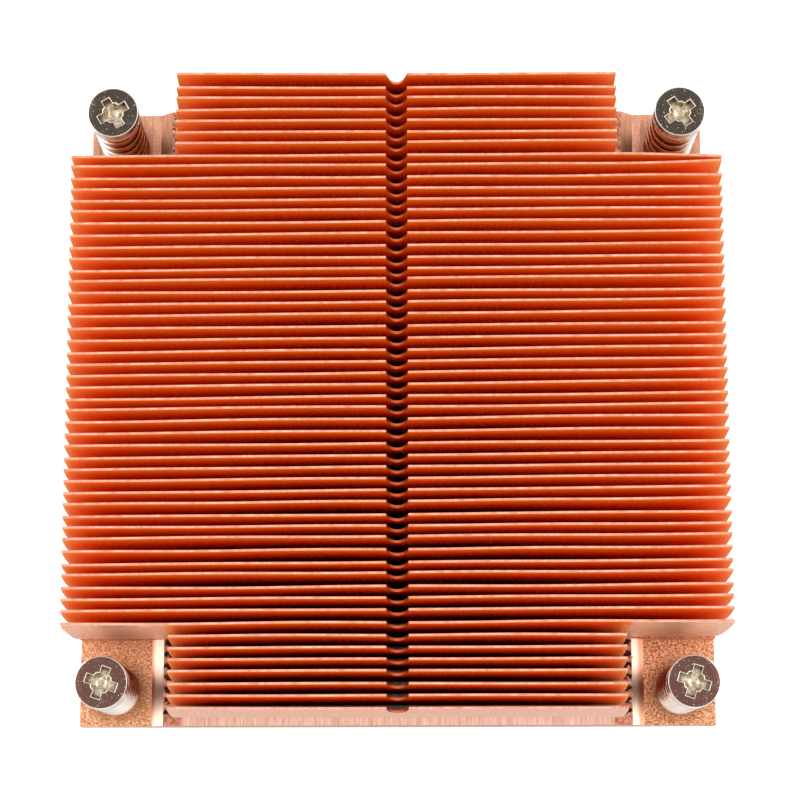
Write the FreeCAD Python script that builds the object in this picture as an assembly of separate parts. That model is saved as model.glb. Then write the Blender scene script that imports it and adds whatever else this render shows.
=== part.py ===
import FreeCAD, Part
import math
import os

# Passive heatsink for the processor of a one-unit server, in millimetres.
# The fins are skived up out of the same copper block as the base, so base
# and fins are one solid. A captive spring screw stands in each corner.
# Origin: centre of the flat underside that meets the processor. +Z is up,
# -Y is the front, and the fins run along X.

# ---- Driving dimensions ----

# base block
base_width = 90.0
base_depth = 90.0
base_height = 5.5
base_edge_break = 0.25

# fins
fin_height = 20.5
fin_thickness = 0.35
fin_count = 55
fin_row_inset = 1.26
short_fin_count = 7
short_fin_inset = 2.5
fin_root_back = 0.28
fin_low_bend = (0.42, 0.40)
fin_high_bend = (0.46, 0.77)
fin_embed = 0.5

# groove milled along the top of the fins
groove_width = 3.0
groove_depth = 3.0
groove_flats = 6

# corner pads milled down beside the short fins
pad_drop = 1.7
pad_bevel_width = 1.8
pad_width = 10.1
pad_wall_gap = 0.3

# screws
screw_inset = 5.0
thread_diameter = 4.0
thread_reach = 5.8
shank_diameter = 4.4
head_diameter = 7.2
head_height = 2.5
head_above_pad = 17.3

# cross recess in the screw head
recess_span = 4.8
recess_wing = 1.25
recess_depth = 1.8
recess_floor = 1.7
recess_turns = {
    "back_left": 30.0,
    "back_right": 34.5,
    "front_left": -19.0,
    "front_right": -17.5,
}

# spring
wire_diameter = 0.8
spring_turns = 7.0
wire_sides = 6
steps_per_turn = 10
spring_to_head = 0.1

# retaining ring, sunk into the underside of the base
ring_thickness = 0.8
ring_diameter = 7.2
ring_neck_diameter = 3.4
ring_mouth = 2.8
ring_seat_depth = 1.0

# clearances
hole_clearance = 0.3
ring_running_fit = 0.05
ring_end_play = 0.1
ring_side_room = 0.5

# ---- Values that follow from them ----

fin_top = base_height + fin_height
pad_top = base_height - pad_drop
head_top = pad_top + head_above_pad
head_bottom = head_top - head_height
pad_inner_x = base_width / 2 - pad_width
short_fin_width = 2 * (pad_inner_x - pad_bevel_width - short_fin_inset)
fin_pitch = (base_depth - 2 * fin_row_inset) / (fin_count - 1)
wide_fin_half_run = fin_pitch * (fin_count - 1 - 2 * short_fin_count) / 2
pad_inner_y = wide_fin_half_run + fin_thickness / 2 + pad_wall_gap
hole_diameter = shank_diameter + 2 * hole_clearance
ring_bore = ring_neck_diameter + 2 * ring_running_fit
ring_seat_diameter = ring_diameter + 2 * ring_side_room
ring_bottom = ring_seat_depth - ring_thickness
neck_top = ring_seat_depth + ring_end_play
neck_bottom = ring_bottom - ring_end_play
screw_tip = -thread_reach
spring_diameter = head_diameter - 2 * spring_to_head
spring_height = head_bottom - pad_top
screw_x = base_width / 2 - screw_inset
screw_y = base_depth / 2 - screw_inset
corners = {
    "back_left": (-screw_x, screw_y),
    "back_right": (screw_x, screw_y),
    "front_left": (-screw_x, -screw_y),
    "front_right": (screw_x, -screw_y),
}


def point(x, y, z):
    return FreeCAD.Vector(x, y, z)


def closed_face(points):
    return Part.Face(Part.makePolygon(points + [points[0]]))


# ---- Copper block with its fins ----

def base_block():
    block = Part.makeBox(base_width, base_depth, base_height,
                         point(-base_width / 2, -base_depth / 2, 0))
    bottom = [e for e in block.Edges if e.BoundBox.ZMax < 0.01]
    return block.makeChamfer(base_edge_break, bottom)


def pad_cutter(side_x, side_y):
    """What the mill takes off one corner: the pad and its slanted inner edge."""
    reach = base_width / 2 + 1
    above = fin_top + 1
    slant_x = pad_inner_x - pad_bevel_width
    profile = [
        point(side_x * slant_x, 0, base_height),
        point(side_x * pad_inner_x, 0, pad_top),
        point(side_x * reach, 0, pad_top),
        point(side_x * reach, 0, above),
        point(side_x * slant_x, 0, above),
    ]
    face = closed_face(profile)
    face.translate(point(0, side_y * pad_inner_y, 0))
    return face.extrude(point(0, side_y * (base_depth / 2 + 1 - pad_inner_y), 0))


def fin(y, width):
    """One skived fin: a thin strip with two slight bends, its foot in the base.

    Each bend is stated as how far it stands forward of the fin's top edge,
    and how far up the fin it lies as a share of the height.
    """
    half = fin_thickness / 2
    line = [
        (y + fin_root_back, base_height - fin_embed),
        (y + fin_root_back, base_height),
        (y - fin_low_bend[0], base_height + fin_height * fin_low_bend[1]),
        (y - fin_high_bend[0], base_height + fin_height * fin_high_bend[1]),
        (y, fin_top),
    ]
    front = [point(-width / 2, a - half, z) for a, z in line]
    back = [point(-width / 2, a + half, z) for a, z in reversed(line)]
    return closed_face(front + back).extrude(point(width, 0, 0))


def fin_row():
    first = fin_pitch * (fin_count - 1) / 2
    row = []
    for i in range(fin_count):
        short = i < short_fin_count or i >= fin_count - short_fin_count
        width = short_fin_width if short else base_width
        row.append(fin(first - i * fin_pitch, width))
    return row


def groove_cutter():
    """Half-oval channel along Y through the tops of all the fins, its round made of flats."""
    half = groove_width / 2
    reach = base_depth / 2 + 1
    above = fin_top + 1
    oval = []
    for step in range(groove_flats + 1):
        turn = math.pi * step / groove_flats
        oval.append(point(half * math.cos(turn), -reach, fin_top - groove_depth * math.sin(turn)))
    section = closed_face([point(half, -reach, above)] + oval + [point(-half, -reach, above)])
    return section.extrude(point(0, 2 * reach, 0))


def heatsink_body():
    block = base_block()
    block = block.fuse(fin_row())
    cutters = [pad_cutter(x, y) for x in (-1, 1) for y in (-1, 1)]
    cutters.append(groove_cutter())
    for x, y in corners.values():
        hole = Part.makeCylinder(hole_diameter / 2, base_height + 2,
                                 point(x, y, -1))
        seat = Part.makeCylinder(ring_seat_diameter / 2, ring_seat_depth + 1,
                                 point(x, y, -1))
        cutters += [hole, seat]
    return block.cut(cutters).removeSplitter()


# ---- Captive screw ----

def screw_profile():
    """Half section of the screw as radius and height, from the tip up."""
    thread = thread_diameter / 2
    shank = shank_diameter / 2
    neck = ring_neck_diameter / 2
    head = head_diameter / 2
    return [
        (0, screw_tip),
        (thread, screw_tip),
        (thread, neck_bottom),
        (neck, neck_bottom),
        (neck, neck_top),
        (shank, neck_top),
        (shank, head_bottom),
        (head, head_bottom),
        (head, head_top),
        (0, head_top),
    ]


def recess_wings(turn):
    """Cross recess: two tapered blades set square to each other."""
    top = recess_span / 2
    floor = recess_floor / 2
    slope = (top - floor) / recess_depth
    over = 0.5
    blade = closed_face([
        point(-top - slope * over, -recess_wing / 2, head_top + over),
        point(-floor, -recess_wing / 2, head_top - recess_depth),
        point(floor, -recess_wing / 2, head_top - recess_depth),
        point(top + slope * over, -recess_wing / 2, head_top + over),
    ]).extrude(point(0, recess_wing, 0))
    other = blade.copy()
    other.rotate(point(0, 0, 0), point(0, 0, 1), 90)
    centre = Part.makeCone(0.25, recess_floor * 0.75, recess_depth,
                           point(0, 0, head_top - recess_depth))
    cross = blade.fuse([other, centre])
    cross.rotate(point(0, 0, 0), point(0, 0, 1), turn)
    return cross


def screw(turn):
    outline = [point(r, 0, z) for r, z in screw_profile()]
    body = closed_face(outline).revolve(point(0, 0, 0), point(0, 0, 1), 360)
    return body.cut(recess_wings(turn))


# ---- Compression spring ----

def coil_heights():
    """Height of the wire's centre at each step, with close coils at the ends."""
    steps = int(round(spring_turns * steps_per_turn))
    close = wire_diameter * 1.06 / steps_per_turn
    shares = []
    for i in range(steps):
        turn = (i + 0.5) / steps_per_turn
        inside = min(turn - 1, spring_turns - 1 - turn)
        shares.append(min(max(inside + 0.5, 0.0), 1.0))
    wide = (spring_height - close * (steps - sum(shares))) / sum(shares)
    heights = [pad_top]
    for share in shares:
        heights.append(heights[-1] + close + (wide - close) * share)
    return heights


def wire_section(angle, height):
    """Many-sided section of the wire, standing square to the winding."""
    mean = (spring_diameter - wire_diameter) / 2
    ring = []
    for i in range(wire_sides):
        around = 2 * math.pi * (i + 0.5) / wire_sides
        radius = mean + wire_diameter / 2 * math.cos(around)
        ring.append(point(radius * math.cos(angle), radius * math.sin(angle),
                          height + wire_diameter / 2 * math.sin(around)))
    return Part.makePolygon(ring + [ring[0]])


def spring():
    """Wire lofted around the winding, then ground flat at both ends."""
    sections = []
    for i, height in enumerate(coil_heights()):
        angle = 2 * math.pi * i / steps_per_turn
        sections.append(wire_section(angle, height))
    coil = Part.makeLoft(sections, True, True)
    between = Part.makeCylinder(spring_diameter, spring_height,
                                point(0, 0, pad_top))
    return coil.common(between)


# ---- Retaining ring ----

def retaining_ring():
    """Snap ring with an open mouth, held in the screw's neck under the base."""
    low = point(0, 0, ring_bottom)
    ring = Part.makeCylinder(ring_diameter / 2, ring_thickness, low)
    bore = Part.makeCylinder(ring_bore / 2, ring_thickness, low)
    mouth = Part.makeBox(ring_diameter, ring_mouth, ring_thickness,
                         point(0, -ring_mouth / 2, ring_bottom))
    return ring.cut([bore, mouth])


# ---- Placing and writing ----

def placed(shape, corner, turn=0.0):
    x, y = corners[corner]
    copy = shape.copy()
    copy.rotate(point(0, 0, 0), point(0, 0, 1), turn)
    copy.translate(point(x, y, 0))
    return copy


def pieces():
    nodes = {"heatsink_body": heatsink_body()}
    coil = spring()
    ring = retaining_ring()
    for corner, (x, y) in corners.items():
        outward = math.degrees(math.atan2(y, x))
        nodes["captive_screw_" + corner] = placed(screw(recess_turns[corner]), corner)
        nodes["spring_" + corner] = placed(coil, corner, outward)
        nodes["retaining_ring_" + corner] = placed(ring, corner, outward)
    return nodes


os.makedirs("parts", exist_ok=True)
for name, shape in pieces().items():
    shape.exportStep("parts/" + name + ".step")
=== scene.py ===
import math
import random

import bmesh
import bpy
from mathutils import Matrix, Vector


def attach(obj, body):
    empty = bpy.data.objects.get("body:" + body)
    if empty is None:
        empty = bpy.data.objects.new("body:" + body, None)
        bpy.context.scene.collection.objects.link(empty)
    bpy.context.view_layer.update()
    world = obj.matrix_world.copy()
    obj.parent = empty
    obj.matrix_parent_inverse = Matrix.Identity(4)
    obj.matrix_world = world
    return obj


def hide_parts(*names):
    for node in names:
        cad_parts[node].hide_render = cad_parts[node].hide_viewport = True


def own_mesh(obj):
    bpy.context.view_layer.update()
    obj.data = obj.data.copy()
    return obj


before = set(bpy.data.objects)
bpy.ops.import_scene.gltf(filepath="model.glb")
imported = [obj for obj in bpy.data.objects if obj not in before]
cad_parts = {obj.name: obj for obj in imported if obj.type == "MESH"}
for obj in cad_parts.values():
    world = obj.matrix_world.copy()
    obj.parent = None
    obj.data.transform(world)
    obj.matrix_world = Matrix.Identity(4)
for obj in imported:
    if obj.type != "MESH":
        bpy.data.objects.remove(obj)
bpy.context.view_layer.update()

MM = 0.001                # a millimetre in metres
NEAR = 0.01               # levels closer than this, in millimetres, are the same

# ---- Sizes taken over from the solids, in millimetres ----

# block
BASE_HALF = 45.0
ROOT = 5.5                # floor between the fins
PAD = 3.8                 # milled corner pads
LEDGE_EDGE = 33.1         # inner edge of the slanted strip beside a pad

# fins
FIN_TOP = 26.0
FIN_HEIGHT = FIN_TOP - ROOT
FIN_COUNT = 55
FIN_PITCH = 1.62
FIRST_FIN = 43.74         # middle of the rearmost fin's top edge
SHORT_FINS = 7            # short fins at the front, and as many at the back
SHORT_HALF = 30.5         # half the width of a short fin
LAST_WIDE = FIN_COUNT - 1 - SHORT_FINS
BEND_LINE = [(0.0, 0.28), (0.40, -0.42), (0.77, -0.46), (1.0, 0.0)]

# groove along the tops of the fins
GROOVE_HALF = 1.5
GROOVE_DEPTH = 3.0

# screws
SCREW_PLACE = 40.0        # from the middle of the block, both ways
HEAD_TOP = 21.1
HEAD_BOTTOM = 18.6
HEAD_RADIUS = 3.6
SHANK_RADIUS = 2.2
NECK_RADIUS = 1.7
NECK_TOP = 1.1
NECK_BOTTOM = 0.1
THREAD_RADIUS = 2.0
THREAD_TIP = -5.8
CORNERS = {               # place of each screw, and the turn of its recess
    "back_left": (-SCREW_PLACE, SCREW_PLACE, 30.0),
    "back_right": (SCREW_PLACE, SCREW_PLACE, 34.5),
    "front_left": (-SCREW_PLACE, -SCREW_PLACE, -19.0),
    "front_right": (SCREW_PLACE, -SCREW_PLACE, -17.5),
}

# springs
WIRE_RADIUS = 0.4
WINDING_RADIUS = 3.1
COIL_TURNS = 7.0
SPRING_HEIGHT = HEAD_BOTTOM - PAD

# ---- Sizes of the finer work, in millimetres ----

# what skiving leaves in each fin
FIN_SEED = 5
SHIFT_SPREAD = 0.085
REAR_SHIFTS = (0.26, -0.10, 0.10, 0.02, 0.04, 0.0, 0.14, -0.12)
TURN_IN_THE_MIDDLE = math.radians(0.5)
TURN_SPREAD = 0.0009
WAVES = (0.02, 0.07)
WAVE_LENGTHS = (26.0, 60.0)
LOW_TOPS = (0.0, 0.06)
CURL_START = 28.0         # where the two rearmost wide fins begin to curl
CURLS = {SHORT_FINS: -0.42, SHORT_FINS + 1: 0.36}
FOOT_CURL = 0.42          # the frontmost wide fin stands forward at its foot
RIM_BEVEL = 0.05

# how finely the fins are cut up before they are bent
FIN_COLUMNS = 26
FIN_LEVELS = (0.10, 0.22, 0.32, 0.50, 0.63, 0.83, 0.93)
GROOVE_CUTS = (0.3, 0.6, 0.9, 1.15, 1.4, 1.47)

# torn slivers on the ledges
SLIVER_SEED = 11
SLIVER_FOOT = 0.5
SLIVER_TIP = 0.1

# cross recess: half length, half width, and height over the head's top
WING_MOUTH = (2.52, 0.64, 1.0)
WING_FLOOR = (1.85, 0.54, -1.15)
PUNCH_POINT = [(0.0, HEAD_TOP - 1.62), (0.8, HEAD_TOP - 1.16),
               (1.72, HEAD_TOP + 0.4), (0.0, HEAD_TOP + 0.4)]
RECESS_BEVEL = 0.08
RECESS_REACH = HEAD_RADIUS - 0.5    # the recess stays this close to the axis,
RECESS_DEPTH = 2.2                  # and ends above this depth

# thread
THREAD_RISE = 0.7
THREAD_STEPS = 20         # to a turn
THREAD_CORE = 1.62
RIDGE_FOOT = 1.55         # the ridge starts a little inside the core
RIDGE_TOP = 0.05          # half the flat on the ridge
RUN_OUT = 0.5


# ---- Shader maths ----

class Value:
    """A number or colour on its way through a node tree."""

    def __init__(self, nodes, socket):
        self.nodes = nodes
        self.socket = socket

    def maths(self, operation, first, second=None):
        values = {0: first} if second is None else {0: first, 1: second}
        return self.nodes.node("ShaderNodeMath", {"operation": operation}, values)

    def __add__(self, other):
        return self.maths("ADD", self, other)

    __radd__ = __add__

    def __sub__(self, other):
        return self.maths("SUBTRACT", self, other)

    def __rsub__(self, other):
        return self.maths("SUBTRACT", other, self)

    def __mul__(self, other):
        return self.maths("MULTIPLY", self, other)

    __rmul__ = __mul__

    def __truediv__(self, other):
        return self.maths("DIVIDE", self, other)

    def __rtruediv__(self, other):
        return self.maths("DIVIDE", other, self)

    def __pow__(self, other):
        return self.maths("POWER", self, other)

    def __rpow__(self, other):
        return self.maths("POWER", other, self)

    def absolute(self):
        return self.maths("ABSOLUTE", self)

    def fraction(self):
        return self.maths("FRACT", self)

    def most(self, other):
        return self.maths("MAXIMUM", self, other)

    def clamped(self):
        return self.nodes.node("ShaderNodeClamp", {}, {"Value": self})

    def above(self, start, slope):
        """0 up to the start, and from there rising by the slope to 1."""
        return ((self - start) * slope).clamped()

    def below(self, start, slope):
        """0 down to the start, and from there rising by the slope to 1."""
        return ((start - self) * slope).clamped()

    def ramp(self, low, high):
        """0 at low, 1 at high, straight between and level outside."""
        return self.nodes.node("ShaderNodeMapRange", {"clamp": True},
                               {"Value": self, "From Min": low, "From Max": high})


class Nodes:
    """Makes the nodes of one node tree."""

    def __init__(self, tree):
        self.tree = tree

    def node(self, kind, settings, values, output=0):
        """A node from its type, its settings and its sockets' values or links."""
        made = self.tree.nodes.new(kind)
        for key, setting in settings.items():
            if key == "stops":
                self.set_stops(made, setting)
            else:
                setattr(made, key, setting)
        for key, value in values.items():
            self.feed(made.inputs[key], value)
        return Value(self, made.outputs[output])

    def set_stops(self, made, stops):
        elements = made.color_ramp.elements
        while len(elements) < len(stops):
            elements.new(1.0)
        for element, (position, colour) in zip(elements, stops):
            element.position = position
            element.color = colour

    def feed(self, socket, value):
        """Links a Value, or sets a constant, filled up to the socket's length."""
        if isinstance(value, Value):
            self.tree.links.new(value.socket, socket)
            return
        if hasattr(socket.default_value, "__len__"):
            size = len(socket.default_value)
            given = list(value) if isinstance(value, (list, tuple)) else [value] * size
            value = (given + [1.0])[:size]
        socket.default_value = value


class Paint(Nodes):
    """One finish: a material with a Principled shader and its patterns."""

    def __init__(self, name):
        self.material = bpy.data.materials.new(name)
        self.material.use_nodes = True
        super().__init__(self.material.node_tree)
        self.shader = self.tree.nodes["Principled BSDF"]
        self.place = self.node("ShaderNodeTexCoord", {}, {}, "Object")

    def axis(self, letter):
        """Place along one axis, in millimetres."""
        split = self.node("ShaderNodeSeparateXYZ", {}, {"Vector": self.place}, letter)
        return split * 1000.0

    def aside(self):
        """Distance left or right of the groove, in millimetres."""
        return self.axis("X").absolute()

    def along(self):
        """Distance in front of or behind the middle, in millimetres."""
        return self.axis("Y").absolute()

    def share(self, letter):
        """0 on the left or front of the block, and 1 on its right or back."""
        return (self.axis(letter) * 0.1).ramp(-0.5, 0.5)

    def from_screw(self):
        """Distance from the axis of the nearest screw, in millimetres."""
        x, y = self.aside() - SCREW_PLACE, self.along() - SCREW_PLACE
        return (x * x + y * y) ** 0.5

    def stretched(self, x=1.0, y=1.0, z=1.0):
        """Places in millimetres. Under 1 draws a pattern out along that axis."""
        return self.node("ShaderNodeMapping", {}, {
            "Vector": self.place, "Scale": (1000.0 * x, 1000.0 * y, 1000.0 * z)})

    def noise(self, scale, where=None, detail=2.0, roughness=0.5):
        return self.node("ShaderNodeTexNoise", {}, {
            "Vector": where or self.stretched(), "Scale": scale,
            "Detail": detail, "Roughness": roughness})

    def cracks(self, scale, where):
        """Distance from the nearest line of an irregular net."""
        return self.node("ShaderNodeTexVoronoi", {"feature": "DISTANCE_TO_EDGE"},
                         {"Vector": where, "Scale": scale})

    def blend(self, factor, low, high):
        return self.node("ShaderNodeMix", {"data_type": "RGBA"},
                         {0: factor, 6: low, 7: high}, 2)

    def bumps(self, height, strength, distance=0.02):
        return self.node("ShaderNodeBump", {}, {
            "Strength": strength, "Distance": distance * MM, "Height": height})

    def finish(self, **values):
        for key, value in values.items():
            self.feed(self.shader.inputs[key.replace("_", " ")], value)
        return self.material


def shade(red, green, blue):
    """A colour as it looks on a screen, 0 to 255, in the shader's linear values."""
    def linear(c):
        c = c / 255.0
        return c / 12.92 if c <= 0.04045 else ((c + 0.055) / 1.055) ** 2.4
    return (linear(red), linear(green), linear(blue), 1.0)


# ---- Copper finishes ----

# Painted shade down the fin walls from the top: orange, then red, then nearly black
DEPTH_SHADE_STOPS = [(0.0, shade(255, 142, 52)), (0.11, shade(255, 112, 14)), (0.25, shade(238, 62, 0)),
        (0.46, shade(116, 4, 0)), (0.8, shade(64, 0, 0))]


def fin_face_copper():
    """Fin walls: orange near the top and ends, redder and darker towards the root; the
    darkening is painted shade, the paler ends painted light.
    """
    p = Paint("copper_fin_face")
    depth = (FIN_TOP - p.axis("Z")) / FIN_HEIGHT
    grain = p.noise(2.4, p.stretched(z=0.25), detail=3.0, roughness=0.65)
    aside = p.aside()
    middle = 1.0 - aside.ramp(10.0, 43.0)
    painted_light_under_groove = 1.0 - aside.ramp(GROOVE_HALF - 0.2, GROOVE_HALF + 0.2)
    painted_light_under_groove = painted_light_under_groove * depth.ramp(0.05, 0.2)
    back = p.axis("Y").ramp(0.0, 40.0)
    front = p.axis("Y").ramp(-5.0, -40.0)
    # Painted shade: darker with depth down the wall, more in the middle of the fins'
    # length and in the front rows, and a little lighter under the groove, more so at the
    # back.
    painted_shade = depth * (middle * (front * 0.25 + 1.35) + 0.5) + (grain - 0.5) * 0.16
    painted_shade = painted_shade - painted_light_under_groove * (back * 0.12 + 0.04)
    tone = p.node("ShaderNodeValToRGB", {"stops": DEPTH_SHADE_STOPS}, {"Fac": painted_shade})
    # Painted light: a paler tone near each fin's ends.
    beside_short = p.along().ramp(32.4, 32.7)
    reach = BASE_HALF - beside_short * (BASE_HALF - SHORT_HALF)
    end = 1.0 - (reach - aside).ramp(0.0, 7.0)
    tone = p.blend(end * end * (1.0 - depth * 0.6), tone, shade(255, 172, 100))
    flecks = p.noise(3.2, p.stretched(z=0.2), roughness=0.7)
    tone = p.blend(flecks.above(0.50, 8.0) * 0.42, tone, shade(255, 140, 58))
    fine = p.noise(4.0, p.stretched(z=0.3), roughness=0.6)
    return p.finish(Base_Color=tone, Metallic=0.4, Roughness=0.38 + grain * 0.16,
                    Specular_IOR_Level=0.0, Normal=p.bumps(fine, 0.25))


def fin_edge_copper():
    """Top and end edges of the fins, sheared bright and a little uneven."""
    p = Paint("copper_fin_edge")
    patch = p.noise(0.9, p.stretched(y=0.6), detail=3.0, roughness=0.65)
    tone = p.blend(patch.above(0.34, 2.6), shade(216, 141, 120), shade(239, 195, 179))
    fine = p.noise(5.0, p.stretched(y=2.0, z=2.0), roughness=0.6)
    return p.finish(Base_Color=tone, Metallic=1.0, Roughness=0.46 + patch * 0.1,
                    Normal=p.bumps(fine, 0.25))


def groove_copper():
    """Groove milled along the tops of the fins, darker than their edges."""
    p = Paint("copper_groove")
    patch = p.noise(1.8, detail=3.0, roughness=0.6)
    flank = (p.aside() * (1.0 / GROOVE_HALF)).ramp(0.5, 0.8)
    tone = p.blend(patch, shade(208, 104, 60), shade(242, 140, 94))
    tone = p.blend(flank, tone, shade(150, 54, 24))
    return p.finish(Base_Color=tone, Metallic=0.5, Roughness=0.5, Specular_IOR_Level=0.0,
                    Normal=p.bumps(patch, 0.3))


def open_face_copper():
    """Outermost fin walls, which nothing stands in front of, with painted light where they
    stand over a pad.
    """
    p = Paint("copper_open_face")
    grain = p.noise(2.2, p.stretched(z=0.4), detail=3.0, roughness=0.6)
    patches = grain.above(0.35, 1.8)
    over_pad = p.aside().ramp(SHORT_HALF, SHORT_HALF + 1.0)
    tone = p.blend(patches, shade(228, 172, 146), shade(244, 200, 180))
    # Painted light: a paler, less metallic tone where the wall stands over a pad.
    over_pad_painted_light = p.blend(patches, shade(246, 172, 130), shade(255, 228, 204))
    tone = p.blend(over_pad, tone, over_pad_painted_light)
    fine = p.noise(7.0, p.stretched(z=0.3), roughness=0.6)
    return p.finish(Base_Color=tone, Metallic=1.0 - over_pad * 0.4, Roughness=0.42,
                    Normal=p.bumps(fine, 0.2))


def root_copper():
    """Floor round the fins: tool streaks, and a torn ledge beside the short fins, with
    painted shadows in the pits between them, fainter at the back.
    """
    p = Paint("copper_root")
    streak = p.noise(3.4, p.stretched(y=0.08, z=0.3), roughness=0.7)
    tone = p.blend(streak.above(0.3, 2.2), shade(222, 178, 160), shade(255, 240, 228))
    torn = p.noise(1.5, detail=3.0, roughness=0.7)
    wander = (torn - 0.5) * 1.4
    on_ledge = (p.aside() - SHORT_HALF + 0.2).ramp(0.0, 0.3)
    ledge = p.blend(torn.above(0.36, 3.0), shade(186, 104, 70), shade(240, 184, 156))
    # Painted shadow: dark pits on the ledge between the short fins' ends.
    across = 1.0 - ((p.aside() - LEDGE_EDGE + 0.7 + wander).absolute() * 1.1).clamped()
    between = (p.along() * (1.0 / FIN_PITCH)).fraction() - 0.6 + wander * 0.2
    painted_pit_shadow = across * (1.0 - (between.absolute() * 2.6).clamped()) * 3.0
    painted_pit_shadow = painted_pit_shadow.clamped() * (1.0 - p.along().ramp(43.3, 43.9))
    ledge = p.blend(painted_pit_shadow * (0.95 - p.share("Y") * 0.65), ledge, shade(34, 10, 4))
    tone = p.blend(on_ledge, tone, ledge)
    return p.finish(Base_Color=tone, Metallic=1.0, Roughness=0.36,
                    Normal=p.bumps(streak + torn * on_ledge * 3.0, 0.4))


def pad_copper():
    """Corner pads: grainy with painted glints at the front, wiped smoother at the back,
    with painted light on the front left pad and a painted shadow round each spring's foot.
    """
    p = Paint("copper_pad")
    front = 1.0 - p.share("Y")
    left = 1.0 - p.share("X")
    grain = p.noise(1.9, detail=4.0, roughness=0.75)
    specks_and_glints = p.noise(3.4, roughness=0.6)
    smear = p.noise(2.2, p.stretched(y=0.14), roughness=0.6)
    tone = p.blend(grain.above(0.36, 3.2), shade(216, 120, 70), shade(255, 194, 144))
    # Painted highlight: the bright specks are painted glints; the dark specks below are
    # grain.
    tone = p.blend(specks_and_glints.above(0.54, 10.0), tone, shade(255, 226, 200))
    tone = p.blend(specks_and_glints.below(0.45, 10.0) * 0.8, tone, shade(136, 56, 20))
    wiped = p.blend(smear.above(0.34, 2.4), shade(206, 142, 112), shade(246, 192, 166))
    tone = p.blend(front * 0.75 + 0.25, wiped, tone)
    # Painted light: the front left pad a little paler.
    tone = p.blend(left * front * 0.15, tone, shade(255, 206, 160))
    # Painted shadow: darker round the foot of each spring.
    painted_spring_shadow = 1.0 - (p.from_screw() + (smear - 0.5) * 1.5).ramp(3.4, 5.4)
    tone = p.blend(painted_spring_shadow * 0.5, tone, shade(116, 62, 30))
    return p.finish(Base_Color=tone, Metallic=1.0, Roughness=0.30 + grain * 0.12,
                    Normal=p.bumps((grain + specks_and_glints) * front + smear, 0.4, 0.03))


def slant_copper():
    """Slanted strip between pad and fins: pale at the front, partly its copper and partly
    a painted highlight, and wiped at the back.
    """
    p = Paint("copper_slant")
    back, right = p.share("Y"), p.share("X")
    streak = p.noise(1.4, p.stretched(2.0, 0.15, 2.0))
    # Painted highlight in part: the near-white tone of the front of the strip.
    tone = p.blend(streak, shade(240, 208, 186), shade(255, 242, 228))
    outer = (p.aside() - LEDGE_EDGE + streak * 0.5 + right * 0.5).ramp(1.4, 2.0)
    tone = p.blend(outer * 0.8, tone, shade(206, 132, 96))
    smear = p.noise(2.0, p.stretched(3.0, 0.2, 3.0), detail=3.0, roughness=0.7)
    wiped = p.blend(smear.above(0.32, 2.6), shade(146, 100, 76), shade(206, 158, 130))
    tone = p.blend(back, tone, wiped)
    return p.finish(Base_Color=tone, Metallic=1.0,
                    Roughness=0.40 + streak * 0.1 + back * 0.14,
                    Normal=p.bumps(streak + smear * back * 2.0, 0.35, 0.03))


def side_copper():
    """Sawn and faced sides of the block."""
    p = Paint("copper_side")
    streak = p.noise(2.6, p.stretched(z=0.06), detail=3.0, roughness=0.65)
    tone = p.blend(streak.above(0.32, 2.4), shade(206, 134, 104), shade(236, 178, 150))
    return p.finish(Base_Color=tone, Metallic=1.0, Roughness=0.36,
                    Normal=p.bumps(streak, 0.3))


def lapped_copper():
    """Underside, lapped flat and finer than the rest."""
    p = Paint("copper_lapped")
    arcs = p.noise(2.0, p.stretched(x=0.05, y=1.6), roughness=0.6)
    tone = p.blend(arcs, shade(224, 154, 122), shade(242, 186, 158))
    return p.finish(Base_Color=tone, Metallic=1.0, Roughness=0.24,
                    Normal=p.bumps(arcs, 0.12))


# ---- Nickel and steel finishes ----

def nickel(name, tone, roughness, scratches=0.0, front_reflection_tone=None):
    """Plating with some dirt, and if given, fine scratches and a warmer tone in front that
    paints a reflection.
    """
    p = Paint(name)
    cloud = p.noise(0.8)
    dirt = p.noise(1.7, roughness=0.6).above(0.5, 5.0)
    dull = tuple(0.8 * c for c in tone[:3]) + (1.0,)
    colour = p.blend(dirt * 0.5, tone, dull)
    if front_reflection_tone:
        # Painted reflection: a warmer tone towards the front.
        colour = p.blend((p.axis("Y") * -0.02).ramp(-0.5, 0.5), colour, front_reflection_tone)
    values = {"Metallic": 1.0, "Roughness": roughness + cloud * 0.05}
    if scratches:
        bend = p.noise(0.5, detail=1.0)
        lines = p.cracks(0.55, p.stretched(y=1.3)) + bend * 0.06
        pits = p.noise(5.0, detail=1.0).above(0.70, 30.0)
        marks = lines.below(0.045, 60.0) * bend.above(0.5, 8.0)
        marks = marks.most(pits) * scratches
        colour = p.blend(marks, colour, shade(250, 240, 225))
        values["Normal"] = p.bumps(marks, 0.4)
    return p.finish(Base_Color=colour, **values)


def punched_nickel():
    """Inside of the cross recess, dull where the punch tore it, with painted shade at the
    ends of its wings.
    """
    p = Paint("nickel_punched")
    cloud = p.noise(1.7, roughness=0.6)
    tone = p.blend(cloud.above(0.4, 4.0), shade(170, 150, 120), shade(238, 226, 204))
    # Painted shade: darker towards the ends of the wings.
    painted_wing_end_shade = (p.from_screw() + (cloud - 0.5) * 1.2).ramp(1.5, 2.1)
    tone = p.blend(painted_wing_end_shade * 0.85, tone, shade(84, 66, 46))
    return p.finish(Base_Color=tone, Metallic=1.0, Roughness=0.3 + cloud * 0.1)


def worn_highlight_nickel():
    """Rim of the recess, where drivers have worn the plating pale, with a painted
    highlight: a pale, less metallic tone that stays bright all round.
    """
    p = Paint("nickel_worn_highlight")
    cloud = p.noise(2.4, roughness=0.6)
    tone = p.blend(cloud, shade(232, 220, 200), shade(250, 242, 228))
    return p.finish(Base_Color=tone, Metallic=0.35, Roughness=0.4 + cloud * 0.1)


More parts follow.
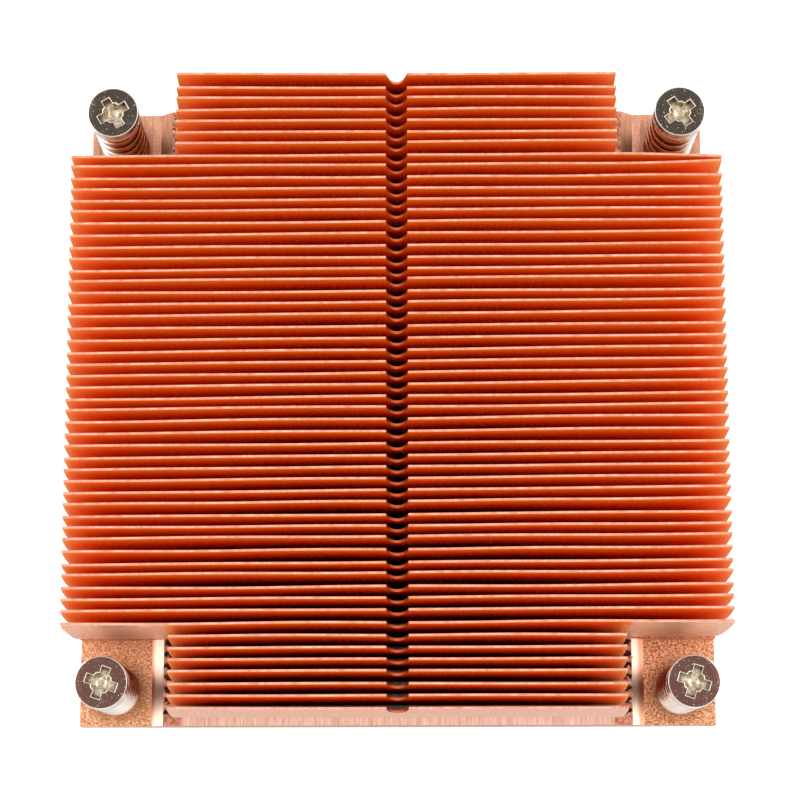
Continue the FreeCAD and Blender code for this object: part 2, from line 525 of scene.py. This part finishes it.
def spring_wire():
    """Bright spring wire, with a painted brown reflection of the copper on the side that
    faces the fins.
    """
    p = Paint("spring_wire")
    cloud = p.noise(1.2, roughness=0.6)
    outwards = p.aside() + p.along() - 2 * SCREW_PLACE + (cloud - 0.5) * 1.5
    # Painted reflection of the copper fins on the wire.
    copper_reflection = 1.0 - outwards.ramp(-3.4, -0.6)
    tone = p.blend(copper_reflection, shade(230, 220, 210), shade(170, 98, 60))
    return p.finish(Base_Color=tone, Metallic=1.0, Roughness=0.24 + cloud * 0.08)


# ---- Mesh helpers ----

def place(x, y, z):
    return Vector((x * MM, y * MM, z * MM))


def loose_object(name, bm):
    """Turns a finished bmesh into an object of its own."""
    mesh = bpy.data.meshes.new(name)
    bm.to_mesh(mesh)
    bm.free()
    made = bpy.data.objects.new(name, mesh)
    bpy.context.scene.collection.objects.link(made)
    return made


def mesh_object(name, bm, finishes, body, node):
    """Turns a finished bmesh into a piece that rides on a body and replaces its solid."""
    made = loose_object(name, bm)
    for material in finishes:
        made.data.materials.append(material)
    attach(made, body)
    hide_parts(node)
    return made


def soften(bm, degrees=28.0):
    """Smooth shading except over edges sharper than the given angle."""
    limit = math.radians(degrees)
    for face in bm.faces:
        face.smooth = True
    for edge in bm.edges:
        edge.smooth = len(edge.link_faces) == 2 and edge.calc_face_angle(0.0) < limit


def scale_all(bm, factor):
    bmesh.ops.scale(bm, vec=(factor, factor, factor), verts=bm.verts[:])


def turn_all(bm, angle):
    bmesh.ops.rotate(bm, verts=bm.verts[:], cent=(0, 0, 0),
                     matrix=Matrix.Rotation(angle, 3, "Z"))


def turned(bm, outline, steps):
    """Spins an outline of (radius, height) pairs once around Z into a closed solid."""
    corners = [bm.verts.new(place(r, 0.0, z)) for r, z in outline]
    edges = [bm.edges.new(pair) for pair in zip(corners, corners[1:])]
    bmesh.ops.spin(bm, geom=corners + edges, cent=(0, 0, 0), axis=(0, 0, 1),
                   dvec=(0, 0, 0), angle=math.tau, steps=steps, use_merge=True)
    bmesh.ops.remove_doubles(bm, verts=bm.verts[:], dist=1e-7)
    bmesh.ops.recalc_face_normals(bm, faces=bm.faces[:])


def cut(bm, point, normal):
    """Cuts every face that reaches above the floor between the fins."""
    high = [f for f in bm.faces if max(v.co.z for v in f.verts) > (ROOT + NEAR) * MM]
    geom = set(high)
    for face in high:
        geom.update(face.edges)
        geom.update(face.verts)
    bmesh.ops.bisect_plane(bm, geom=list(geom), dist=1e-7, plane_co=place(*point),
                           plane_no=normal)


# ---- Fins ----

def up_the_fin(z):
    """Height as a share of the fin, 0 at the root and 1 at the top."""
    return (z - ROOT) / FIN_HEIGHT


def bend_as_cut(share):
    """How far the solid fin's middle stands behind its top edge, in straight runs."""
    for (a, ya), (b, yb) in zip(BEND_LINE, BEND_LINE[1:]):
        if share <= b:
            return ya + (yb - ya) * max(share - a, 0.0) / (b - a)
    return BEND_LINE[-1][1]


def bend_as_sprung(share):
    """The same line as one smooth curve through the same points."""
    total = 0.0
    for i, (a, ya) in enumerate(BEND_LINE):
        part = ya
        for k, (b, _) in enumerate(BEND_LINE):
            if k != i:
                part *= (share - b) / (a - b)
        total += part
    return total


def fin_number(y, z):
    """Which fin a point belongs to, counted from the back."""
    return round((FIRST_FIN + bend_as_cut(up_the_fin(z)) - y) / FIN_PITCH)


def fin_habits():
    """Each fin's own small errors of place, turn and wave, from one fixed seed."""
    chance = random.Random(FIN_SEED)
    habits = []
    for i in range(FIN_COUNT):
        middle = math.sin(math.pi * i / (FIN_COUNT - 1))
        habits.append({
            "shift": chance.gauss(0.0, SHIFT_SPREAD),
            "turn": TURN_IN_THE_MIDDLE * middle + chance.gauss(0.0, TURN_SPREAD),
            "wave": chance.uniform(*WAVES),
            "length": chance.uniform(*WAVE_LENGTHS),
            "phase": chance.uniform(0.0, math.tau),
            "low": chance.uniform(*LOW_TOPS),
        })
    for i, shift in enumerate(REAR_SHIFTS):
        habits[i]["shift"] = shift
    return habits


def bent(x, z, number, habits):
    """How far a point of one fin lies behind its place on the solid."""
    h = habits[number]
    share = min(max(up_the_fin(z), 0.0), 1.0)
    move = bend_as_sprung(share) - bend_as_cut(share)
    move += math.tan(h["turn"]) * x * min(share * 6.0, 1.0)
    move += h["shift"] * share
    move += h["wave"] * math.sin(math.tau * x / h["length"] + h["phase"]) * share
    near_end = max((x - CURL_START) / (BASE_HALF - CURL_START), 0.0) ** 2
    move += CURLS.get(number, 0.0) * near_end * share
    if number == LAST_WIDE:
        move -= FOOT_CURL * (1.0 - share) ** 2 * min(share * 12.0, 1.0)
    return move


def bend_fins(bm):
    """Bends every fin its own way, and sinks its top edge a little."""
    habits = fin_habits()
    for vert in bm.verts:
        x, y, z = vert.co / MM
        if z > ROOT + NEAR:
            number = fin_number(y, z)
            vert.co.y += bent(x, z, number, habits) * MM
            if z > FIN_TOP - NEAR:
                vert.co.z -= habits[number]["low"] * MM


def round_groove(bm):
    """Moves the groove's flats onto its true oval."""
    for vert in bm.verts:
        x, _, z = vert.co / MM
        inside = abs(x) < GROOVE_HALF - NEAR and z > FIN_TOP - GROOVE_DEPTH - 0.1
        if inside and any(is_groove_flat(face) for face in vert.link_faces):
            height = FIN_TOP - GROOVE_DEPTH * (1.0 - (x / GROOVE_HALF) ** 2) ** 0.8
            lean = bend_as_cut(up_the_fin(height)) - bend_as_cut(up_the_fin(z))
            vert.co.z = height * MM
            vert.co.y += lean * MM


def is_groove_flat(face):
    return (abs(face.normal.y) < 0.3 and face.normal.z > 0.02
            and abs(face.calc_center_median().x) < GROOVE_HALF * MM)


def is_top_rim(edge):
    """Whether an edge runs between a fin's top and its wall."""
    if len(edge.link_faces) != 2:
        return False
    a, b = (f.normal for f in edge.link_faces)
    up, side = (a, b) if a.z > b.z else (b, a)
    z = min(v.co.z for v in edge.verts) / MM
    return up.z > 0.9 and abs(side.z) < 0.3 and abs(side.y) > 0.5 and z > FIN_TOP - 0.5


# ---- Copper block ----

FACE, EDGE, OPEN, FLOOR, GRAINY, BRIGHT, SAWN, LAPPED, GROOVE = range(9)


def copper_finish(face):
    """Which copper finish a face of the block has, from where it lies and looks."""
    x, y, z = face.calc_center_median() / MM
    n = face.normal
    if z > ROOT + 0.02:
        return fin_finish(x, y, z, n)
    if z < 0.3 and n.z < -0.5:
        return LAPPED
    # The pad's rear walls take the slant's pale copper, a painted highlight along them.
    behind_pad = PAD < z < ROOT and abs(y) < BASE_HALF - 1.0
    if behind_pad and abs(n.z) < 0.3 and abs(n.y) > 0.5:
        return BRIGHT
    if n.z < 0.3:
        return SAWN
    if z > ROOT - 0.1:
        return FLOOR
    return BRIGHT if z > PAD + 0.05 else GRAINY


def fin_finish(x, y, z, n):
    if abs(n.y) < 0.5:
        in_groove = abs(x) < GROOVE_HALF + NEAR and z < FIN_TOP - 0.1
        return GROOVE if in_groove else EDGE
    number = fin_number(y, z)
    beyond = abs(x) > SHORT_HALF
    open_front = number == FIN_COUNT - 1 or (number == LAST_WIDE and beyond)
    open_back = number == 0 or (number == SHORT_FINS and beyond)
    return OPEN if (open_front if n.y < 0 else open_back) else FACE


def torn_slivers(bm):
    """Small torn slivers where the ledge beside the short fins meets the slanted strip."""
    chance = random.Random(SLIVER_SEED)
    short = list(range(SHORT_FINS)) + list(range(LAST_WIDE + 1, FIN_COUNT))
    for number in short:
        for side in (-1, 1):
            y = FIRST_FIN - FIN_PITCH * number + chance.uniform(0.0, 0.5)
            x = side * (LEDGE_EDGE - chance.uniform(0.15, 0.7))
            size = Vector((chance.uniform(0.7, 1.2), chance.uniform(0.3, 0.6),
                           chance.uniform(0.5, 0.9)))
            lean = Matrix.Rotation(chance.uniform(-0.7, 0.2), 3, "X")
            turn = Matrix.Rotation(chance.uniform(-0.6, 0.6), 3, "Z")
            sliver = bmesh.ops.create_cone(
                bm, cap_ends=True, segments=5, radius1=SLIVER_FOOT * MM,
                radius2=SLIVER_TIP * MM, depth=MM)["verts"]
            bmesh.ops.scale(bm, vec=size, verts=sliver)
            bmesh.ops.rotate(bm, verts=sliver, cent=(0, 0, 0), matrix=lean @ turn)
            bmesh.ops.translate(bm, verts=sliver, vec=place(x, y, ROOT + 0.1))
            for face in {f for v in sliver for f in v.link_faces}:
                face.material_index = EDGE


def copper_block():
    """The solid block again, its fins cut finer, sprung into curves and given finishes."""
    bm = bmesh.new()
    bm.from_mesh(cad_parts["heatsink_body"].data)
    bmesh.ops.remove_doubles(bm, verts=bm.verts[:], dist=2e-6)
    bmesh.ops.dissolve_limit(bm, angle_limit=math.radians(0.8), verts=bm.verts[:],
                             edges=bm.edges[:])
    for i in range(1, FIN_COLUMNS):
        x = -BASE_HALF + 2 * BASE_HALF * i / FIN_COLUMNS
        cut(bm, (x, 0, 0), (1, 0, 0))
    for share in FIN_LEVELS:
        cut(bm, (0, 0, ROOT + FIN_HEIGHT * share), (0, 0, 1))
    for x in GROOVE_CUTS:
        cut(bm, (x, 0, 0), (1, 0, 0))
        cut(bm, (-x, 0, 0), (1, 0, 0))
    round_groove(bm)
    bend_fins(bm)
    rims = [e for e in bm.edges if is_top_rim(e)]
    bmesh.ops.bevel(bm, geom=rims, offset=RIM_BEVEL * MM, offset_type="OFFSET", segments=1,
                    profile=0.5, affect="EDGES", material=-1)
    for face in bm.faces:
        face.material_index = copper_finish(face)
    soften(bm)
    torn_slivers(bm)
    mesh_object("copper_block", bm, COPPERS, "heatsink", "heatsink_body")


# ---- Captive screws ----

def screw_outline():
    """Half section of a screw: tip, thread core, collar, neck, shank and head."""
    tip, collar = 1.25, 1.95
    inside = HEAD_RADIUS - 0.05      # where an edge of the head begins to round
    waist = HEAD_RADIUS - 0.28       # foot of the groove around the head
    rounding = 0.16
    return [
        (0.0, THREAD_TIP),
        (tip, THREAD_TIP),
        (THREAD_CORE, THREAD_TIP + 0.4),
        (THREAD_CORE, NECK_BOTTOM - 0.25),
        (collar, NECK_BOTTOM - 0.02),
        (collar, NECK_BOTTOM),
        (NECK_RADIUS, NECK_BOTTOM),
        (NECK_RADIUS, NECK_TOP),
        (SHANK_RADIUS, NECK_TOP),
        (SHANK_RADIUS, HEAD_BOTTOM),
        (inside, HEAD_BOTTOM),
        (HEAD_RADIUS, HEAD_BOTTOM + 0.05),
        (HEAD_RADIUS, HEAD_BOTTOM + 0.50),
        (inside, HEAD_BOTTOM + 0.55),
        (waist, HEAD_BOTTOM + 0.60),
        (waist, HEAD_BOTTOM + 0.80),
        (inside, HEAD_BOTTOM + 0.86),
        (HEAD_RADIUS, HEAD_BOTTOM + 0.92),
        (HEAD_RADIUS, HEAD_TOP - rounding),
        (inside, HEAD_TOP - 0.05),
        (HEAD_RADIUS - rounding, HEAD_TOP),
        (0.0, HEAD_TOP),
    ]


def wing_cutter(degrees):
    """One bar of the cross that the punch leaves in a screw head, at millimetre scale."""
    bm = bmesh.new()
    made = bmesh.ops.create_cube(bm, size=1.0)["verts"]
    for vert in made:
        half, wide, height = WING_MOUTH if vert.co.z > 0 else WING_FLOOR
        vert.co = Vector((math.copysign(half, vert.co.x), math.copysign(wide, vert.co.y),
                          HEAD_TOP + height))
    turn_all(bm, math.radians(degrees))
    return loose_object("wing", bm)


def point_cutter():
    """Point of the punch, between the four wings, at millimetre scale."""
    bm = bmesh.new()
    turned(bm, PUNCH_POINT, steps=8)
    scale_all(bm, 1 / MM)
    return loose_object("point", bm)


def cut_away(target, cutters):
    """Cuts the cutters out of an object's mesh and removes them."""
    for cutter in cutters:
        change = target.modifiers.new("cut", "BOOLEAN")
        change.operation = "DIFFERENCE"
        change.solver = "EXACT"
        change.object = cutter
    bpy.context.view_layer.update()
    graph = bpy.context.evaluated_depsgraph_get()
    mesh = bpy.data.meshes.new_from_object(target.evaluated_get(graph))
    target.modifiers.clear()
    old = target.data
    target.data = mesh
    bpy.data.meshes.remove(old)
    for cutter in cutters:
        bpy.data.objects.remove(cutter)


def thread(bm):
    """Helical ridge of the thread, wound around the core."""
    low, high = THREAD_TIP + 0.35, NECK_BOTTOM - 0.3
    turns = (high - low) / THREAD_RISE
    half = THREAD_RISE * 0.44
    section = [(RIDGE_FOOT, -half), (THREAD_RADIUS, -RIDGE_TOP),
               (THREAD_RADIUS, RIDGE_TOP), (RIDGE_FOOT, half)]
    core = set(bm.verts)
    verts = [bm.verts.new(place(r, 0.0, low + z)) for r, z in section]
    face = bm.faces.new(verts)
    steps = int(turns * THREAD_STEPS)
    bmesh.ops.spin(bm, geom=[face] + list(face.edges) + verts, cent=(0, 0, 0),
                   axis=(0, 0, 1), dvec=(0, 0, (high - low) * MM / steps),
                   angle=math.tau * turns, steps=steps, use_merge=False)
    run_out([v for v in bm.verts if v not in core], low, high)


def run_out(verts, low, high):
    """Runs the ridge out into the core at both ends."""
    core = THREAD_CORE - 0.02
    for vert in verts:
        z = vert.co.z / MM
        share = min((z - low) / RUN_OUT, (high - z) / RUN_OUT, 1.0)
        radius = vert.co.xy.length / MM
        if radius > core:
            wanted = core + (radius - core) * max(share, 0.0)
            vert.co.xy = vert.co.xy * (wanted / radius)


def is_recess_rim(edge):
    """Whether an edge runs between the head's flat top and the recess."""
    low = min(v.co.z for v in edge.verts)
    far = max(v.co.xy.length for v in edge.verts)
    return low > HEAD_TOP - 0.001 and far < RECESS_REACH and len(edge.link_faces) == 2


def base_screw():
    """One finished screw around the Z axis, without its place or turn.

    A millimetre is one unit while the recess is cut, so that the cut comes out clean.
    """
    bm = bmesh.new()
    turned(bm, screw_outline(), steps=72)
    scale_all(bm, 1 / MM)
    stock = loose_object("screw_stock", bm)
    cut_away(stock, [wing_cutter(0.0), wing_cutter(90.0), point_cutter()])
    bm = bmesh.new()
    bm.from_mesh(stock.data)
    bpy.data.objects.remove(stock)
    bmesh.ops.remove_doubles(bm, verts=bm.verts[:], dist=1e-4)
    bmesh.ops.dissolve_limit(bm, angle_limit=0.01, verts=bm.verts[:], edges=bm.edges[:])
    rims = [e for e in bm.edges if is_recess_rim(e)]
    bmesh.ops.bevel(bm, geom=rims, offset=RECESS_BEVEL, offset_type="OFFSET", segments=1,
                    profile=0.5, affect="EDGES", material=-1)
    scale_all(bm, MM)
    thread(bm)
    bmesh.ops.recalc_face_normals(bm, faces=bm.faces[:])
    return bm


HEAD_FLAT, PLATED, PUNCHED, SHADED_SHANK, WORN_HIGHLIGHT = range(5)


def screw_finish(face):
    """Which nickel finish a face of a screw on the Z axis has."""
    x, y, z = face.calc_center_median() / MM
    if z > HEAD_TOP - NEAR and face.normal.z > 0.9:
        return HEAD_FLAT
    if math.hypot(x, y) < RECESS_REACH and z > HEAD_TOP - RECESS_DEPTH:
        # The rim is pale from wear and also carries a painted highlight.
        rubbed_and_highlit = z > HEAD_TOP - 0.07 and face.normal.z > 0.3
        return WORN_HIGHLIGHT if rubbed_and_highlit else PUNCHED
    return SHADED_SHANK if NECK_TOP < z < HEAD_BOTTOM - 0.05 else PLATED


def captive_screws():
    for corner, (x, y, degrees) in CORNERS.items():
        bm = base_screw()
        for face in bm.faces:
            face.material_index = screw_finish(face)
        turn_all(bm, math.radians(degrees))
        bmesh.ops.translate(bm, verts=bm.verts[:], vec=place(x, y, 0))
        soften(bm)
        mesh_object("screw_" + corner, bm, NICKELS, "screw_" + corner,
                    "captive_screw_" + corner)


# ---- Springs ----

def coil_height(turn):
    """Unscaled height of the wire's centre after so many turns: close at both ends."""
    close = 2 * WIRE_RADIUS * 1.04
    change = 0.6
    wide = (SPRING_HEIGHT - 2 * close - change * close) / (COIL_TURNS - 2.0 - change)
    steps = 40
    total = 0.0
    for i in range(steps):
        t = (i + 0.5) * turn / steps
        inside = min(t - 1.0, COIL_TURNS - 1.0 - t)
        share = min(max(inside / change + 0.5, 0.0), 1.0)
        total += (close + (wide - close) * share) * turn / steps
    return total


def coil(bm, start_angle):
    """Round wire wound into a spring with close coils and ground ends."""
    per_turn, sides = 28, 10
    steps = int(COIL_TURNS * per_turn)
    bmesh.ops.create_circle(bm, cap_ends=True, segments=sides, radius=WIRE_RADIUS * MM)
    upright = Matrix.Rotation(math.pi / 2, 4, "X")
    out = Matrix.Translation(place(WINDING_RADIUS, 0, 0))
    bmesh.ops.transform(bm, matrix=out @ upright, verts=bm.verts[:])
    bmesh.ops.spin(bm, geom=bm.verts[:] + bm.edges[:] + bm.faces[:], cent=(0, 0, 0),
                   axis=(0, 0, 1), dvec=(0, 0, MM), angle=math.tau * COIL_TURNS,
                   steps=steps, use_merge=False)
    scale = SPRING_HEIGHT / coil_height(COIL_TURNS)
    levels = [PAD + scale * coil_height(i / per_turn) for i in range(steps + 1)]
    for vert in bm.verts:
        step = round(vert.co.z / MM)
        up = vert.co.z / MM - step
        vert.co.z = (levels[min(max(step, 0), steps)] + up) * MM
    bmesh.ops.recalc_face_normals(bm, faces=bm.faces[:])
    grind_flat(bm, PAD, -1)
    grind_flat(bm, HEAD_BOTTOM, 1)
    turn_all(bm, start_angle)


def grind_flat(bm, z, up):
    """Takes off what stands past one end, and closes the cut wire."""
    bmesh.ops.bisect_plane(bm, geom=bm.verts[:] + bm.edges[:] + bm.faces[:], dist=1e-8,
                           plane_co=place(0, 0, z), plane_no=(0, 0, up), clear_outer=True)
    rim = [e for e in bm.edges if e.is_boundary]
    bmesh.ops.holes_fill(bm, edges=rim, sides=0)


def springs():
    for corner, (x, y, _) in CORNERS.items():
        bm = bmesh.new()
        coil(bm, math.atan2(y, x))
        bmesh.ops.translate(bm, verts=bm.verts[:], vec=place(x, y, 0))
        bmesh.ops.recalc_face_normals(bm, faces=bm.faces[:])
        soften(bm, 50.0)
        made = mesh_object("coil_" + corner, bm, [WIRE], "heatsink",
                           "spring_" + corner)
        place(x, y, PAD)
        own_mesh(made)


# ---- Retaining rings ----

def retaining_rings():
    """The rings keep their solids, and only get their steel."""
    for corner in CORNERS:
        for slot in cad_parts["retaining_ring_" + corner].material_slots:
            slot.material = RING


# ---- Stage ----

PALE = 0.86               # the floor's grey
GLOW = 0.55               # white added to the floor where the camera sees it
ROOM_LIGHT = 0.55         # what the room shines with, though it is seen as 1, white

# name, place and size in metres, and power in watts
LAMPS = [
    ("left_softbox", (-0.75, 0.10, 0.36), (0.9, 0.9), 6.0),
    ("right_softbox", (0.75, 0.10, 0.36), (0.9, 0.9), 6.8),
    ("front_softbox", (0.0, -0.8, 0.6), (0.7, 0.5), 1.2),
]

LENS = 106.06             # millimetres, on a sensor 36 millimetres wide
CAMERA_PLACE = (0.000458, -0.062, 0.340)
CAMERA_TURN = (0.1879, 0.0006, -0.0023)


def floor():
    """Pale floor that the screw tips stand on, white to the eye but for shadows."""
    bm = bmesh.new()
    bmesh.ops.create_grid(bm, x_segments=1, y_segments=1, size=3.0)
    bmesh.ops.translate(bm, verts=bm.verts[:], vec=place(0, 0, THREAD_TIP))
    made = loose_object("floor", bm)
    p = Paint("pale_floor")
    p.finish(Base_Color=(PALE, PALE, PALE, 1.0), Roughness=0.9, Specular_IOR_Level=0.0)
    plain = Value(p, p.shader.outputs[0])
    seen = p.node("ShaderNodeLightPath", {}, {}, "Is Camera Ray")
    white = p.node("ShaderNodeEmission", {}, {"Color": (1, 1, 1, 1), "Strength": GLOW})
    lit = p.node("ShaderNodeAddShader", {}, {0: plain, 1: white})
    chosen = p.node("ShaderNodeMixShader", {}, {0: seen, 1: plain, 2: lit})
    p.feed(p.tree.nodes["Material Output"].inputs["Surface"], chosen)
    made.data.materials.append(p.material)


def surroundings():
    """White to the eye and in reflections, and a plain grey light otherwise."""
    world = bpy.data.worlds.new("white_room")
    world.use_nodes = True
    bpy.context.scene.world = world
    room = Nodes(world.node_tree)
    camera_ray, glossy_ray, clear_ray = (
        room.node("ShaderNodeLightPath", {}, {}, "Is %s Ray" % kind)
        for kind in ("Camera", "Glossy", "Transmission"))
    seen = camera_ray.most(glossy_ray.most(clear_ray))
    strength = room.node("ShaderNodeMapRange", {}, {
        "Value": seen, "To Min": ROOM_LIGHT, "To Max": 1.0})
    background = world.node_tree.nodes["Background"]
    room.feed(background.inputs["Color"], (1, 1, 1, 1))
    room.feed(background.inputs["Strength"], strength)


def soft_light(name, where, size, power):
    """A rectangular lamp that looks at the middle of the block."""
    light = bpy.data.lights.new(name, "AREA")
    light.shape = "RECTANGLE"
    light.size, light.size_y = size
    light.energy = power
    made = bpy.data.objects.new(name, light)
    made.location = where
    made.rotation_euler = (-Vector(where)).to_track_quat("-Z", "Y").to_euler()
    bpy.context.scene.collection.objects.link(made)


def camera():
    """Looks down over the front edge, tilted and not shifted."""
    data = bpy.data.cameras.new("camera")
    data.lens = LENS
    data.sensor_width = 36.0
    data.clip_start, data.clip_end = 0.01, 10.0
    made = bpy.data.objects.new("camera", data)
    made.location = CAMERA_PLACE
    made.rotation_euler = CAMERA_TURN
    bpy.context.scene.collection.objects.link(made)
    bpy.context.scene.camera = made


# ---- Building ----

# in the order of the names FACE to GROOVE
COPPERS = [fin_face_copper(), fin_edge_copper(), open_face_copper(), root_copper(),
           pad_copper(), slant_copper(), side_copper(), lapped_copper(), groove_copper()]
# in the order of the names HEAD_FLAT to WORN_HIGHLIGHT
# The head tops' dark tone and warmer front tone are painted reflections.
NICKELS = [nickel("nickel_head_top_painted_reflection", shade(84, 75, 67), 0.18, 0.7, shade(116, 82, 74)),
           nickel("nickel_plating", shade(226, 218, 208), 0.16),
           punched_nickel(),
           # The shank's darker nickel is painted shade under the spring.
           nickel("nickel_shank_painted_shade", shade(120, 98, 84), 0.3),
           worn_highlight_nickel()]
WIRE = spring_wire()
RING = nickel("ring_steel", shade(150, 146, 140), 0.4)

copper_block()
captive_screws()
springs()
retaining_rings()

floor()
surroundings()
for lamp in LAMPS:
    soft_light(*lamp)
camera()

bpy.context.scene.view_settings.view_transform = "Standard"
